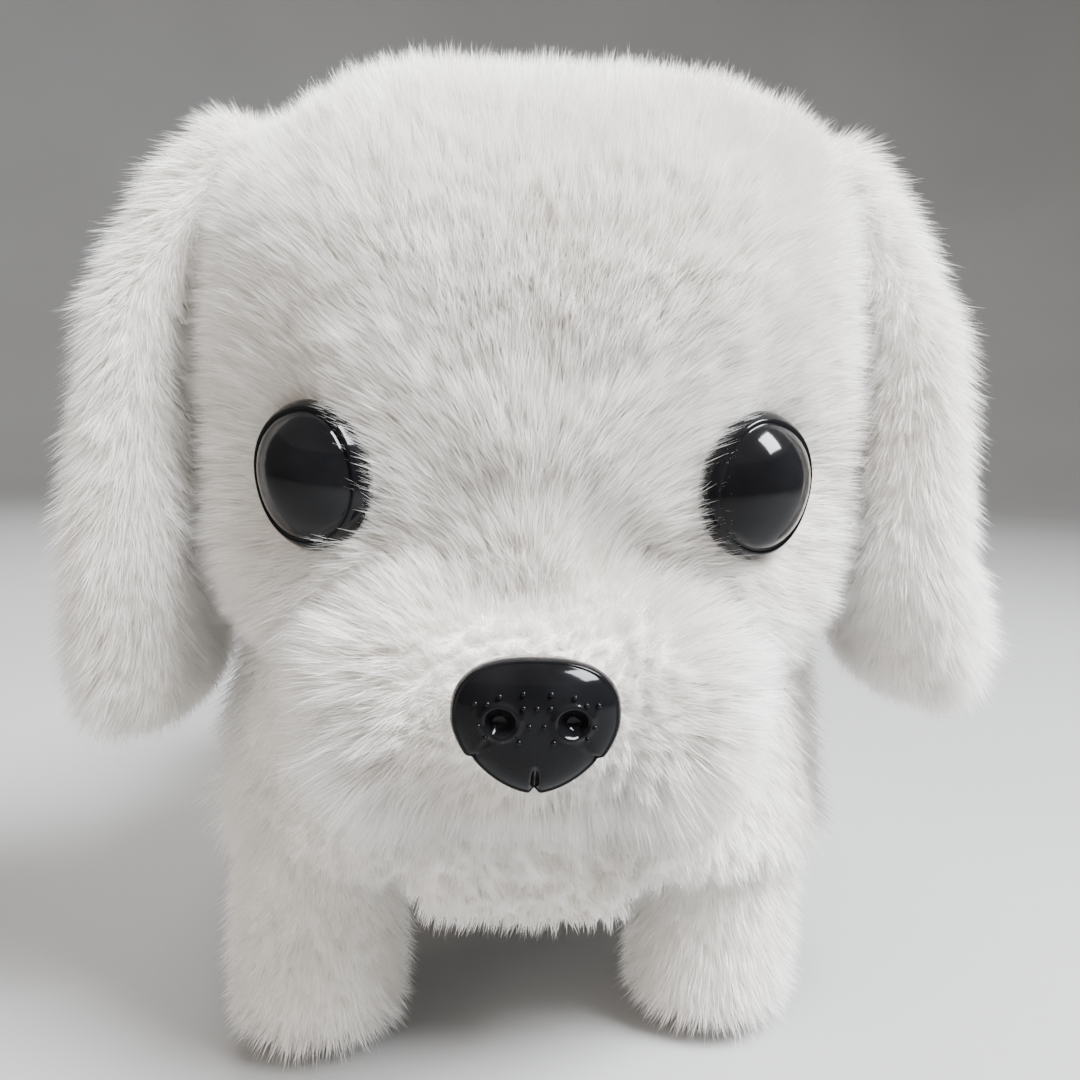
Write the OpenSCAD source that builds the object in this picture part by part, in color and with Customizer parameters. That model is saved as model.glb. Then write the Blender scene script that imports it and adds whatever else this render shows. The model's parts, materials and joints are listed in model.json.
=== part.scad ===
// Plush puppy on a walking chassis. Millimetres, +Z up, the dog faces -Y, and the
// origin is on the floor under the middle. The dog's own left is +X.

/* [Legs] */
// Height of the leg pivots above the floor
hip_z = 50; // [49:0.5:51]
// Distance from the crank shaft to each pair of leg pivots
hip_y = 49; // [48:0.5:50]
// Distance from the middle plane to the centre of each leg
hip_x = 31; // [30:0.25:31]
// Radius of a leg with its plush sleeve pressed flat
sleeve_r = 12.5; // [11.5:0.25:12.5]
// How far a leg leans from upright at rest, in degrees
lean = 4.6; // [3:0.2:6]

/* [Head] */
// Height of the top of the head
head_top = 146; // [143:1:149]
// Radius of the cheeks
cheek_r = 27; // [26:0.5:28]
// Radius of the muzzle
muzzle_r = 19.5; // [18:0.5:20]
// Thickness of the plush cover with its backing
cover_t = 4.5; // [4:0.25:5]
// Height of an eye, rim included
eye_h = 19.5; // [17:0.5:21]
// Width of an eye, rim included
eye_w = 17; // [15:0.5:17.5]
// Width of the nose
nose_w = 19.4; // [17:0.2:21]

/* [Ears and tail] */
// Thickness of an ear flap at its lower end
ear_t = 18; // [14:1:19]
// Height of the lower end of an ear
ear_low = 50; // [46:1:60]
// Radius of the plush tail
tail_r = 7.5; // [6:0.5:8]

/* [Chassis] */
// Half width of the chassis over its side walls
chassis_x = 17; // [16.75:0.25:17]
// Wall thickness of the moulded shells
wall = 1.8; // [1.6:0.1:1.8]
// Distance of each crank pin from the crank shaft
throw = 8.5; // [7.5:0.5:8.5]
// Radius of the two hip axles
axle_r = 2; // [1.8:0.1:2.1]
// Tooth size of the gears, as the gear module
gear_module = 0.5; // [0.5:0.01:0.5]

/* [Batteries and switch] */
// Radius of one AAA cell
cell_r = 5.25; // [5:0.05:5.25]
// Length of one AAA cell with its button
cell_l = 44.5; // [43.5:0.1:44.5]
// Travel of the switch knob
switch_travel = 3.5; // [2.5:0.5:3.5]

/* [Hidden] */
$fn = 64;
soft_fn = 28;
fur_white = [0.93, 0.92, 0.90];
fill_white = [0.97, 0.97, 0.96];
gloss_black = [0.02, 0.02, 0.02];
shell_white = [0.86, 0.85, 0.82];
gear_ivory = [0.90, 0.86, 0.72];
steel = [0.70, 0.71, 0.73];
board_green = [0.10, 0.36, 0.20];
washer_grey = [0.80, 0.80, 0.80];
floor_z = 26;
tray_top = 57;
roof_z = 74;
front_y = -62;
step_y = -12;
back_y = 67;
inner_x = chassis_x - wall;
inner_floor = floor_z + 2;
disc_x0 = chassis_x + 0.4;
disc_x1 = disc_x0 + 2.2;
pin_x1 = disc_x1 + 1.8;
arm_t = 2.4;
front_arm_x = pin_x1 + 0.4;
rear_arm_x = front_arm_x + arm_t + 0.4;
core_r = 9;
slot_r = 1.9;
shaft_r = 1.5;
crank_angle = asin(hip_y * sin(lean) / throw);
wheel_teeth = 32;
crank_teeth = 34;
pinion_teeth = 8;
second_reach = gear_module * (crank_teeth + pinion_teeth) / 2 + 0.1;
crown_reach = gear_module * (wheel_teeth + pinion_teeth) / 2 + 0.1;
second_y = 8;
second_z = hip_z + sqrt(pow(second_reach, 2) - pow(second_y, 2));
crown_y = 16;
crown_z = second_z + sqrt(pow(crown_reach, 2) - pow(crown_y - second_y, 2));
second_angle = atan2(second_z - hip_z, second_y);
crown_angle = atan2(crown_z - second_z, crown_y - second_y);
neck_y = -36;
hem_z = 33;
chest_low = 22;
eye_x = 29;
eye_y = -72.2;
eye_z = 87.6;
eye_yaw = 27;
eye_roll = 10;
nose_y = -88.5;
nose_z = 61;
ear_x = 56;
ear_y = -43.5;
ear_z = 127;
tail_y = 59;
tail_yaw = 1.5 * lean;
screw_x = 12.6;
screw_ys = [-56.5, 60.5];

// A round bar along X.
module bar_x(r, x0, x1) {
    translate([x0, 0, 0]) rotate([0, 90, 0]) cylinder(r = r, h = x1 - x0);
}

// A round bar along Y.
module bar_y(r, y0, y1) {
    translate([0, y0, 0]) rotate([-90, 0, 0]) cylinder(r = r, h = y1 - y0);
}

// A flat outline in the YZ plane, made into a plate along X.
module plate_x(x0, x1) {
    translate([x0, 0, 0]) rotate([90, 0, 90]) linear_extrude(height = x1 - x0) children();
}

module block(x0, x1, y0, y1, z0, z1) {
    translate([x0, y0, z0]) cube([x1 - x0, y1 - y0, z1 - z0]);
}

// A gear outline with straight-sided teeth, one of them pointing along the first axis.
module gear_outline(teeth) {
    pitch_r = gear_module * teeth / 2;
    step = 360 / teeth;
    polygon([for (i = [0 : teeth - 1]) for (corner = [[-0.32, -1.3], [-0.11, 0.9],
        [0.11, 0.9], [0.32, -1.3]])
        let (r = pitch_r + corner[1] * gear_module, a = (i + corner[0]) * step)
        [r * cos(a), r * sin(a)]]);
}

module spur(teeth, turn, x0, x1) {
    plate_x(x0, x1) rotate(turn) gear_outline(teeth);
}

// ---- Chassis: two moulded shells that meet on the plane of the axles ----

module chassis_outline(inset) {
    translate([front_y + inset, floor_z + inset])
        square([back_y - front_y - 2 * inset, tray_top - floor_z - 2 * inset]);
    translate([step_y + inset, floor_z + inset])
        square([back_y - step_y - 2 * inset, roof_z - floor_z - 2 * inset]);
}

module chassis_shell() {
    difference() {
        plate_x(-chassis_x, chassis_x) chassis_outline(0);
        plate_x(-inner_x, inner_x) chassis_outline(wall);
    }
}

module axle_bores() {
    for (y = [-hip_y, hip_y])
        translate([0, y, hip_z]) bar_x(axle_r + 0.02, -50, 50);
    translate([0, 0, hip_z]) bar_x(shaft_r + 0.04, -50, 50);
}

module screw_tubes(z0, z1) {
    for (side = [-1, 1]) for (y = screw_ys)
        translate([side * screw_x, y, z0]) cylinder(r = 3.2, h = z1 - z0);
}

module screw_holes() {
    for (side = [-1, 1]) for (y = screw_ys) {
        translate([side * screw_x, y, floor_z - 1]) cylinder(r = 2.6, h = 18.8);
        translate([side * screw_x, y, 40]) cylinder(r = 1.24, h = 16.4);
    }
}

module speaker_grille() {
    for (ring = [[0, 1], [4, 6], [8, 12]]) for (i = [0 : ring[1] - 1])
        rotate(i * 360 / ring[1]) translate([ring[0], 0, floor_z - 1])
            cylinder(r = 1, h = 4);
}

module chassis_lower() {
    color(shell_white) difference() {
        union() {
            intersection() {
                chassis_shell();
                block(-50, 50, -90, 90, floor_z, hip_z);
            }
            block(-inner_x, inner_x, front_y + 1, back_y - 1, floor_z, inner_floor);
            // battery bay
            block(-inner_x, inner_x, -0.2, 1.2, inner_floor, 39.4);
            block(-inner_x, inner_x, 48.6, 50, inner_floor, 39.4);
            block(-inner_x, inner_x, -0.2, 50, 39.4, 40.4);
            block(-0.4, 0.4, 1.2, 48.6, inner_floor + 3, 39.4);
            // raised floor and boss for the door screw
            block(-8, 8, 49, 61, inner_floor, inner_floor + 1.2);
            translate([0, 56, inner_floor]) cylinder(r = 3, h = 10);
            // bearing saddles for the hip axles and the crank shaft
            for (side = [-1, 1]) {
                for (y = [-hip_y, 0, hip_y])
                    block(side * 14 - 1.2, side * 14 + 1.2, y - 4, y + 4, 45, hip_z);
                block(side * 14.2 - 1, side * 14.2 + 1, -44, -16, 42.5, 44);
            }
            // ring round the speaker
            intersection() {
                translate([0, -34, inner_floor]) difference() {
                    cylinder(r = 15.2, h = 3);
                    translate([0, 0, -1]) cylinder(r = 14.05, h = 5);
                }
                block(-inner_x, inner_x, -60, 0, floor_z, 40);
            }
            screw_tubes(inner_floor, hip_z);
        }
        axle_bores();
        screw_holes();
        translate([0, 56, inner_floor - 1]) cylinder(r = 1.28, h = 9.5);
        // opening for the battery door
        block(-12.8, 12.8, 0.9, 52, floor_z - 1, inner_floor);
        block(-5.3, 5.3, 51, 60.3, floor_z - 1, inner_floor);
        translate([0, -34, 0]) speaker_grille();
        // slot for the switch knob
        block(-4.05, 4.05, -11.8, -8.2, floor_z - 1, inner_floor + 1);
    }
}

module chassis_upper() {
    color(shell_white) difference() {
        union() {
            intersection() {
                chassis_shell();
                block(-50, 50, -90, 90, hip_z, 100);
            }
            for (side = [-1, 1]) {
                for (y = [0, hip_y])
                    block(side * 14 - 1.2, side * 14 + 1.2, y - 4, y + 4, hip_z, 55);
                block(side * 14 - 1.2, side * 14 + 1.2, -hip_y - 4, -hip_y + 4, hip_z, 56);
                // ribs that hold the motor
                block(side * 12.6 - 2.6, side * 12.6 + 2.6, 34, 44, 58, roof_z - 1);
            }
            intersection() {
                screw_tubes(hip_z, 62);
                plate_x(-inner_x - 0.5, inner_x + 0.5) chassis_outline(1);
            }
            // collar that carries the head frame
            translate([0, neck_y, tray_top - 1]) cylinder(r = 6, h = 12);
            // boss under the tail pin
            translate([0, tail_y, roof_z - 6]) cylinder(r = 3.5, h = 6);
        }
        axle_bores();
        screw_holes();
        translate([0, second_y, second_z]) bar_x(1.02, -50, 50);
        translate([0, crown_y, crown_z]) bar_x(1.02, -50, 50);
        translate([0, neck_y, tray_top - 3]) cylinder(r = 4, h = 20);
        translate([0, tail_y, roof_z - 5]) cylinder(r = 1.5, h = 10);
    }
}

module housing_screws() {
    color(steel) for (side = [-1, 1]) for (y = screw_ys)
        translate([side * screw_x, y, 0]) {
            difference() {
                translate([0, 0, 42]) cylinder(r = 2.4, h = 1.8);
                block(-1.8, 1.8, -0.3, 0.3, 41, 42.8);
                block(-0.3, 0.3, -1.8, 1.8, 41, 42.8);
            }
            translate([0, 0, 43.8]) cylinder(r = 1.2, h = 12);
        }
}

module front_hip_axle() {
    color(steel) translate([0, -hip_y, hip_z]) bar_x(axle_r, -hip_x - 7.5, hip_x + 7.5);
}

module rear_hip_axle() {
    color(steel) translate([0, hip_y, hip_z]) bar_x(axle_r, -hip_x - 7.5, hip_x + 7.5);
}

// ---- Drive: motor, three reductions and the crank ----

module motor() {
    color(steel) translate([0, 0, crown_z]) difference() {
        union() {
            intersection() {
                bar_y(10, 28.5, 53.5);
                block(-10, 10, 20, 60, -7.5, 7.5);
            }
            bar_y(3, 27, 55);
        }
        bar_y(1.04, 20, 60);
    }
}

module motor_shaft() {
    color(steel) translate([0, 0, crown_z]) bar_y(1, 20.6, 56);
}

module motor_pinion() {
    color(gear_ivory) translate([0, 0, crown_z]) difference() {
        translate([0, 26.6, 0]) rotate([90, 0, 0]) linear_extrude(height = 4)
            gear_outline(pinion_teeth);
        bar_y(1, 20, 30);
    }
}

module crown_gear() {
    color(gear_ivory) translate([0, crown_y, crown_z]) difference() {
        union() {
            bar_x(gear_module * wheel_teeth / 2 + 0.55, 3.6, 5.6);
            for (i = [0 : wheel_teeth - 1])
                rotate([i * 360 / wheel_teeth, 0, 0]) block(2.6, 3.8, 6.9, 8.5, -0.35, 0.35);
            bar_x(2.6, 2.6, 3.6);
            spur(pinion_teeth, crown_angle + 180 + 180 / pinion_teeth, 5.6, 9);
        }
        bar_x(1.04, 0, 10);
    }
}

module crown_axle() {
    color(steel) translate([0, crown_y, crown_z]) bar_x(1, -chassis_x, chassis_x);
}

module second_gear() {
    color(gear_ivory) translate([0, second_y, second_z]) difference() {
        union() {
            spur(wheel_teeth, crown_angle, 6, 9);
            spur(pinion_teeth, second_angle + 180 + 180 / pinion_teeth, 9, 12.6);
        }
        bar_x(1.04, 5, 14);
    }
}

module second_axle() {
    color(steel) translate([0, second_y, second_z]) bar_x(1, -chassis_x, chassis_x);
}

module crank_shaft() {
    color(steel) translate([0, 0, hip_z]) bar_x(shaft_r, -disc_x1, disc_x1);
}

module crank_gear() {
    color(gear_ivory) translate([0, 0, hip_z]) difference() {
        union() {
            spur(crank_teeth, second_angle, 9.6, 12.4);
            bar_x(3, 9.2, 9.6);
        }
        bar_x(shaft_r, 0, 20);
    }
}

// The left pin stands above the shaft at rest and the right pin below it.
module crank_disc(side) {
    turn = side > 0 ? 180 - crank_angle : -crank_angle;
    translate([0, 0, hip_z]) mirror([side > 0 ? 0 : 1, 0, 0]) {
        difference() {
            bar_x(11, disc_x0, disc_x1);
            bar_x(shaft_r, 0, 30);
        }
        translate([0, throw * cos(turn), throw * sin(turn)]) bar_x(1.6, disc_x1, pin_x1);
    }
}

module left_crank_disc() {
    color(gear_ivory) crank_disc(1);
}

module right_crank_disc() {
    color(gear_ivory) crank_disc(-1);
}

// ---- Legs: a moulded core with a drive arm, in a plush sleeve ----

// Puts a leg drawn about its own pivot, arm towards +Y, on the given corner.
module on_hip(side, front) {
    translate([side * hip_x, front * -hip_y, hip_z]) rotate([side * front * lean, 0, 0])
        mirror([side > 0 ? 0 : 1, 0, 0]) mirror([0, front > 0 ? 0 : 1, 0]) children();
}

module leg_core(side, front) {
    arm_x = (front > 0 ? front_arm_x : rear_arm_x) - hip_x;
    on_hip(side, front) difference() {
        union() {
            bar_x(4.8, front_arm_x - hip_x, 7);
            translate([0, 0, -47.2]) cylinder(r = core_r, h = 49);
            block(arm_x, arm_x + arm_t, 0, hip_y + throw + 3, -4.2, 4.2);
        }
        bar_x(axle_r + 0.04, -20, 20);
        translate([0, 0, -60]) cylinder(r = core_r - wall, h = 52);
        for (end = [-throw, throw])
            translate([0, hip_y + end, 0]) bar_x(slot_r, -20, 20);
        block(-20, 20, hip_y - throw, hip_y + throw, -slot_r, slot_r);
    }
}

module leg_sleeve(side, front) {
    intersection() {
        on_hip(side, front) difference() {
            union() {
                translate([0, 0, -46.5]) cylinder(r = sleeve_r, h = 37.5);
                translate([0, 0, -46.5]) rotate_extrude() translate([sleeve_r - 5, 0])
                    circle(r = 5);
                translate([0, 0, -51.5]) cylinder(r = sleeve_r - 5, h = 10);
            }
            translate([0, 0, -47.3]) cylinder(r = core_r + 0.05, h = 50);
        }
        block(-60, 60, -90, 90, 0, 60);
    }
}

module front_left_leg_core() {
    color(shell_white) leg_core(1, 1);
}

module front_right_leg_core() {
    color(shell_white) leg_core(-1, 1);
}

module rear_left_leg_core() {
    color(shell_white) leg_core(1, -1);
}

module rear_right_leg_core() {
    color(shell_white) leg_core(-1, -1);
}

module front_left_leg_sleeve() {
    color(fur_white) leg_sleeve(1, 1);
}

module front_right_leg_sleeve() {
    color(fur_white) leg_sleeve(-1, 1);
}

module rear_left_leg_sleeve() {
    color(fur_white) leg_sleeve(1, -1);
}

module rear_right_leg_sleeve() {
    color(fur_white) leg_sleeve(-1, -1);
}

// ---- Batteries, sound and switch ----

module battery_cells() {
    color([0.25, 0.32, 0.30]) for (side = [-1, 1])
        translate([side * (cell_r + 0.7), 24.9 + side * 0.95, inner_floor + 0.4 + cell_r])
            rotate(side > 0 ? 0 : 180) {
                bar_y(cell_r, -cell_l / 2, cell_l / 2 - 1);
                bar_y(1.9, cell_l / 2 - 1, cell_l / 2);
            }
}

module battery_contacts() {
    color(steel) for (side = [-1, 1]) {
        x = side * (cell_r + 0.7);
        z = inner_floor + 0.4 + cell_r;
        block(x - 4.5, x + 4.5, 1.2, 1.6, z - 4.5, z + 4.5);
        block(x - 4.5, x + 4.5, 48.2, 48.6, z - 4.5, z + 4.5);
    }
}

module battery_springs() {
    color(steel) for (side = [-1, 1])
        translate([side * (cell_r + 0.7), side > 0 ? 1.6 : 48.2,
            inner_floor + 0.4 + cell_r])
            rotate([side > 0 ? -90 : 90, 0, 0]) coil(2.9, 0.3, 1.98, 5);
}

// A coil made of half turns, each tilted so that it meets the next.
module coil(mean_r, wire_r, height, halves) {
    rise = (height - 2 * wire_r) / halves;
    tilt = asin(rise / (2 * mean_r));
    for (i = [0 : halves - 1])
        translate([0, 0, wire_r + (i + 0.5) * rise])
            rotate([0, i % 2 == 0 ? tilt : -tilt, 0]) rotate(i % 2 == 0 ? 0 : 180)
                rotate_extrude(angle = 180) translate([mean_r, 0]) circle(r = wire_r);
}

module battery_door() {
    color(shell_white) difference() {
        union() {
            block(-12.5, 12.5, 1.2, 51.7, floor_z, floor_z + 2);
            block(-5, 5, 51.6, 60, floor_z, floor_z + 2);
            for (i = [0 : 3])
                block(-4, 4, 8 + i * 2, 9 + i * 2, floor_z - 0.5, floor_z + 0.1);
        }
        translate([0, 56, floor_z - 1]) cylinder(r = 2.7, h = 2);
        translate([0, 56, floor_z - 1]) cylinder(r = 1.28, h = 5);
    }
}

module battery_door_screw() {
    color(steel) translate([0, 56, 0]) {
        difference() {
            translate([0, 0, floor_z]) cylinder(r = 2.4, h = 1);
            block(-1.8, 1.8, -0.3, 0.3, floor_z - 1, floor_z + 0.6);
            block(-0.3, 0.3, -1.8, 1.8, floor_z - 1, floor_z + 0.6);
        }
        translate([0, 0, floor_z + 1]) cylinder(r = 1.2, h = 8);
    }
}

module circuit_board() {
    color(board_green) {
        block(-14.6, 14.6, -44, -16, 44, 45.2);
        block(-4, 4, -36, -28, 45.2, 46.4);
        for (y = [-40, -22])
            translate([8, y, 45.2]) cylinder(r = 2, h = 2.2);
    }
}

module speaker() {
    color([0.2, 0.2, 0.2]) translate([0, -34, 0]) {
        translate([0, 0, inner_floor]) cylinder(r = 14, h = 2);
        translate([0, 0, inner_floor + 2]) cylinder(r1 = 13, r2 = 8, h = 4);
        translate([0, 0, inner_floor + 6]) cylinder(r = 7, h = 4);
    }
}

module switch_body() {
    color([0.15, 0.15, 0.15]) difference() {
        block(-6.5, 6.5, -14, -6, inner_floor, inner_floor + 5);
        block(-4.05, 4.05, -11.8, -8.2, inner_floor - 1, inner_floor + 0.8);
        block(-3, 3, -11, -9, inner_floor, inner_floor + 3);
    }
}

module switch_knob() {
    color([0.15, 0.15, 0.15]) translate([-switch_travel / 2, -10, 0]) {
        difference() {
            block(-2, 2, -1.5, 1.5, floor_z - 1.4, inner_floor + 0.5);
            for (x = [-1, 0, 1])
                block(x - 0.2, x + 0.2, -2, 2, floor_z - 2, floor_z - 1);
        }
        block(-0.8, 0.8, -0.7, 0.7, inner_floor + 0.5, inner_floor + 2.6);
    }
}

// ---- Body: a thick plush cover over the chassis ----

// A closed form with straight lower sides. shrink takes that much off every face.
module body_form(shrink, bottom) {
    hull() {
        for (side = [-1, 1]) {
            translate([side * 22.5, -44, bottom])
                cylinder(r = 26.5 - shrink, h = 54 - bottom, $fn = soft_fn);
            translate([side * 22.5, -44, 54]) sphere(r = 26.5 - shrink, $fn = soft_fn);
            translate([side * 18.5, 46, bottom])
                cylinder(r = 30.5 - shrink, h = 62 - bottom, $fn = soft_fn);
            translate([side * 18.5, 46, 62]) sphere(r = 30.5 - shrink, $fn = soft_fn);
        }
        translate([0, 12, 66]) sphere(r = 30 - shrink, $fn = soft_fn);
    }
}

module body_cover() {
    color(fur_white) difference() {
        body_form(0, chest_low);
        body_form(cover_t, 10);
        skull_form(-0.6);
        muzzle_form(-0.6);
        // the hem, which hangs lower on the chest than anywhere else
        block(-60, 60, front_y - 0.4, 90, 10, hem_z);
        for (side = [-1, 1])
            block(side * 38 - 22, side * 38 + 22, -80, 0, 10, hem_z);
        // room for each leg over its whole swing
        for (side = [-1, 1]) for (y = [-hip_y, hip_y])
            translate([side * hip_x, y, 10]) for (shift = [-3.4, 0, 3.4])
                translate([0, shift, 0]) cylinder(r = sleeve_r + 0.6, h = 35);
        translate([0, tail_y, 76.5]) rotate([-49, 0, 0]) cylinder(r = 7.5, h = 30);
    }
}

module body_padding() {
    color(fill_white) intersection() {
        body_form(cover_t, 20);
        block(-chassis_x, chassis_x, step_y + 2, 51, roof_z, 110);
    }
}

// ---- Head ----

module skull_form(shrink) {
    hull() for (side = [-1, 1]) {
        translate([side * 18, -44, head_top - 31]) sphere(r = 31 - shrink, $fn = soft_fn);
        translate([side * 28, -44, head_top - 24]) sphere(r = 21.5 - shrink, $fn = soft_fn);
        translate([side * 21, -48, 85.5]) sphere(r = cheek_r - shrink, $fn = soft_fn);
    }
}

module muzzle_form(shrink) {
    hull() {
        for (side = [-1, 1])
            translate([side * 9, -66, 61]) sphere(r = muzzle_r - shrink, $fn = soft_fn);
        translate([0, -58, 74]) sphere(r = 21 - shrink, $fn = soft_fn);
    }
}

module head_frame() {
    color(shell_white) translate([0, neck_y, 0]) difference() {
        union() {
            translate([0, 0, tray_top]) cylinder(r = 9, h = 34);
            translate([0, 0, tray_top + 34]) cylinder(r = 12, h = 3);
            for (turn = [0, 90])
                translate([0, 0, tray_top + 34]) rotate(turn) block(-11, 11, -1, 1, -5, 1);
        }
        translate([0, 0, tray_top - 1]) cylinder(r = 6.04, h = 12.2);
        translate([0, 0, tray_top + 10]) cylinder(r = 4, h = 20);
    }
}

// Everything hard that passes through the head's cover and filling.
module head_fittings() {
    for (side = [-1, 1])
        on_eye(side) eye_solid();
    nose_solid();
}

module head_cover() {
    color(fur_white) difference() {
        union() {
            skull_form(0);
            muzzle_form(0);
        }
        head_room();
        head_fittings();
        neck_opening();
        translate([0, neck_y, 40]) cylinder(r = 9.05, h = 40);
    }
}

// Room below the head for the front of the chassis.
module neck_opening() {
    block(-chassis_x - 0.4, chassis_x + 0.4, front_y - 0.4, 0, 20, tray_top + 0.4);
}

// The inside of the head's cover.
module head_room() {
    skull_form(cover_t);
    muzzle_form(cover_t);
}

module head_stuffing() {
    color(fill_white) difference() {
        head_room();
        head_fittings();
        for (side = [-1, 1])
            on_eye(side) washer_solid(9.5);
        on_nose() washer_solid(10.5);
        neck_opening();
        translate([0, neck_y, 40]) cylinder(r = 9.05, h = tray_top + 34 - 40);
        translate([0, neck_y, tray_top + 28.9]) cylinder(r = 12.05, h = 8.2);
    }
}

// Puts something drawn to face +Z on an eye's place, facing outwards.
module on_eye(side) {
    translate([side * eye_x, eye_y, eye_z]) rotate([0, 0, side * eye_yaw])
        rotate([90, 0, 0]) rotate([0, 0, -side * eye_roll]) children();
}

module on_nose() {
    translate([0, nose_y, nose_z]) rotate([90, 0, 0]) children();
}

// A domed oval on a thin rim, with a shank behind it.
module eye_solid() {
    rise = (eye_h - eye_w) / 2;
    for (end = [-1, 1])
        translate([0, end * rise, 0]) cylinder(r = eye_w / 2, h = 0.9);
    block(-eye_w / 2, eye_w / 2, -rise, rise, 0, 0.9);
    intersection() {
        hull() for (end = [-1, 1])
            translate([0, end * rise, -2.6]) sphere(r = eye_w / 2, $fn = soft_fn);
        translate([0, 0, 10.8]) cube([40, 40, 20], center = true);
    }
    translate([0, 0, -13]) cylinder(r = 2.5, h = 13.5);
}

module washer_solid(depth) {
    translate([0, 0, -depth]) difference() {
        cylinder(r = 6.5, h = 1.2);
        translate([0, 0, -1]) cylinder(r = 2.5, h = 4);
    }
}

module left_eye() {
    color(gloss_black) on_eye(1) eye_solid();
}

module right_eye() {
    color(gloss_black) on_eye(-1) eye_solid();
}

module eye_washers() {
    color(washer_grey) for (side = [-1, 1])
        on_eye(side) washer_solid(9.5);
}

// A rounded triangle, wide side up, with a shank behind it.
module nose_solid() {
    on_nose() {
        hull() {
            for (side = [-1, 1])
                translate([side * (nose_w / 2 - 4.5), 3, 0]) sphere(r = 4.5, $fn = soft_fn);
            translate([0, -4, 0]) sphere(r = 4, $fn = soft_fn);
        }
        translate([0, 0, -15]) cylinder(r = 2.5, h = 15);
    }
}

module nose() {
    color(gloss_black) nose_solid();
}

module nose_washer() {
    color(washer_grey) on_nose() washer_solid(10.5);
}

// ---- Ears and tail ----

// A flap that hangs from a rolled root, which is round about the ear's hinge line.
module ear(side) {
    low = ear_t / 2;
    ear_root(side, 4.5, 24);
    hull() {
        ear_root(side, 4.3, 20, $fn = soft_fn);
        ear_middle(side);
    }
    hull() {
        ear_middle(side);
        for (y = [-56, -33])
            translate([side * (73 - low), y, ear_low + low]) sphere(r = low, $fn = soft_fn);
    }
}

module ear_root(side, r, length) {
    translate([side * ear_x, ear_y, ear_z]) rotate([90, 0, 0])
        cylinder(r = r, h = length, center = true);
}

module ear_middle(side) {
    for (y = [-57, -31])
        translate([side * 62, y, 108]) sphere(r = 7.5, $fn = soft_fn);
}

module left_ear() {
    color(fur_white) ear(1);
}

module right_ear() {
    color(fur_white) ear(-1);
}

module tail_pin() {
    color(steel) translate([0, tail_y, roof_z - 5]) cylinder(r = 1.5, h = 12);
}

// Everything of the tail, turned about its upright pin.
module on_tail() {
    translate([0, tail_y, 0]) rotate([0, 0, tail_yaw]) children();
}

module tail_rod(extra, reach) {
    translate([0, 0, 77]) rotate([-49, 0, 0]) cylinder(r = 2.2 + extra, h = reach);
}

module tail_lever() {
    color(shell_white) on_tail() difference() {
        union() {
            translate([0, 0, roof_z + 0.4]) cylinder(r = 4.5, h = 5);
            tail_rod(0, 34);
        }
        translate([0, 0, roof_z - 1]) cylinder(r = 1.54, h = 9);
    }
}

module tail_cover() {
    color(fur_white) on_tail() difference() {
        hull() {
            translate([0, 15, 92]) sphere(r = tail_r - 1, $fn = soft_fn);
            translate([0, 22.5, 101]) sphere(r = tail_r, $fn = soft_fn);
            translate([0, 27.8, 113]) sphere(r = tail_r - 1, $fn = soft_fn);
        }
        tail_rod(0.05, 34.1);
    }
}

chassis_lower();
chassis_upper();
housing_screws();
front_hip_axle();
rear_hip_axle();
motor();
motor_shaft();
motor_pinion();
crown_gear();
crown_axle();
second_gear();
second_axle();
crank_shaft();
crank_gear();
left_crank_disc();
right_crank_disc();
front_left_leg_core();
front_right_leg_core();
rear_left_leg_core();
rear_right_leg_core();
front_left_leg_sleeve();
front_right_leg_sleeve();
rear_left_leg_sleeve();
rear_right_leg_sleeve();
battery_cells();
battery_contacts();
battery_springs();
battery_door();
battery_door_screw();
circuit_board();
speaker();
switch_body();
switch_knob();
body_padding();
body_cover();
head_frame();
head_stuffing();
head_cover();
left_eye();
right_eye();
eye_washers();
nose();
nose_washer();
left_ear();
right_ear();
tail_pin();
tail_lever();
tail_cover();
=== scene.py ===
import json
import math

import bmesh
import bpy
import numpy as np
from mathutils import Matrix, Vector


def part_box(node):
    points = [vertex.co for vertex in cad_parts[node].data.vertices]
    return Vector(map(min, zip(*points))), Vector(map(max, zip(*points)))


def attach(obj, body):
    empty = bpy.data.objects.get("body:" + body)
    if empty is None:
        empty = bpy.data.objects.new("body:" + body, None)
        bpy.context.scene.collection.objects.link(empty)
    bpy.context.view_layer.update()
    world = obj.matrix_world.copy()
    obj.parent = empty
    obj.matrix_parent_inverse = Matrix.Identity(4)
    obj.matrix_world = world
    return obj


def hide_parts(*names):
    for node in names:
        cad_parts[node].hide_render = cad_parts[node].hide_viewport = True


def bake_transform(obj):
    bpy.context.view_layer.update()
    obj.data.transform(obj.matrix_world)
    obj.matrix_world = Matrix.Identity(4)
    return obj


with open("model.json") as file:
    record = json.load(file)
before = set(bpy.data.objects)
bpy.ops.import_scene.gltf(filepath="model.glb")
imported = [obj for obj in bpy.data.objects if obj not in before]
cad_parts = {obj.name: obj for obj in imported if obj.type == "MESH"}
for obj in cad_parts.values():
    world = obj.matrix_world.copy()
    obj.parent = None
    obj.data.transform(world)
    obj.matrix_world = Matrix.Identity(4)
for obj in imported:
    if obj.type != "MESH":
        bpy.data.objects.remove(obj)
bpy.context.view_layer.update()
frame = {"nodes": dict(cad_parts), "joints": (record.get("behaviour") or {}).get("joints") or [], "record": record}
MM = 0.001
ROOT_DEPTH, TAPER = 0.6, 0.72
# the wider waves in the pile span this many tufts
WAVE_TO_TUFT = 3.3
scene = bpy.context.scene


# ---------------------------------------------------------------- places, read from the CAD
def size(node):
    low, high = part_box(node)
    return high - low


def joint(name):
    return next(j for j in frame["joints"] if j["name"] == name)


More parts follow.
